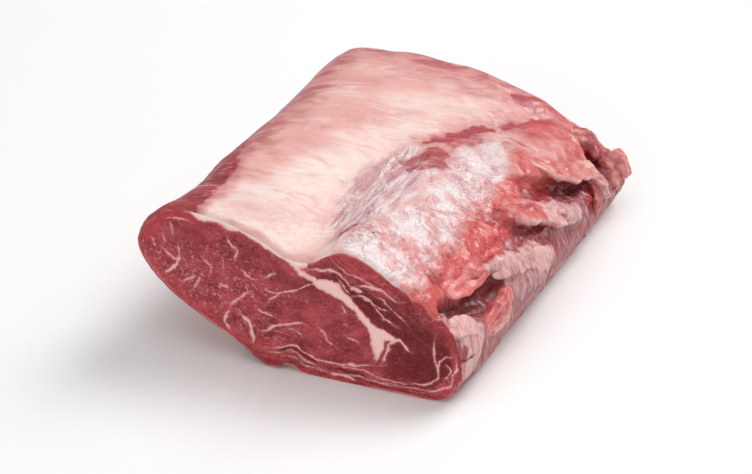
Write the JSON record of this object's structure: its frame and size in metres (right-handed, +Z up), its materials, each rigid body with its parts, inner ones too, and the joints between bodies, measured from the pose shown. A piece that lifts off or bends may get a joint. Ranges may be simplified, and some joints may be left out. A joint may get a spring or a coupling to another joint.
{
  "type": "raw ribeye joint",
  "caption": "Raw boneless beef ribeye joint between two knife cuts, with its fat cap on top and a ragged trimmed side.",
  "frame": {"origin": "middle of the bounding box, on the surface that the joint lies on", "axes": "+Z up; +Y along the loin, from the near cut to the far one; +X towards the trimmed side"},
  "size_m": [0.2057, 0.266, 0.1029],
  "materials": {
    "meat": "moist raw beef: dark red lean with thin pale seams on the cuts, pale pink fat and membrane on the outside"
  },
  "bodies": {
    "root": {"ribeye": "meat"}
  },
  "joints": []
}
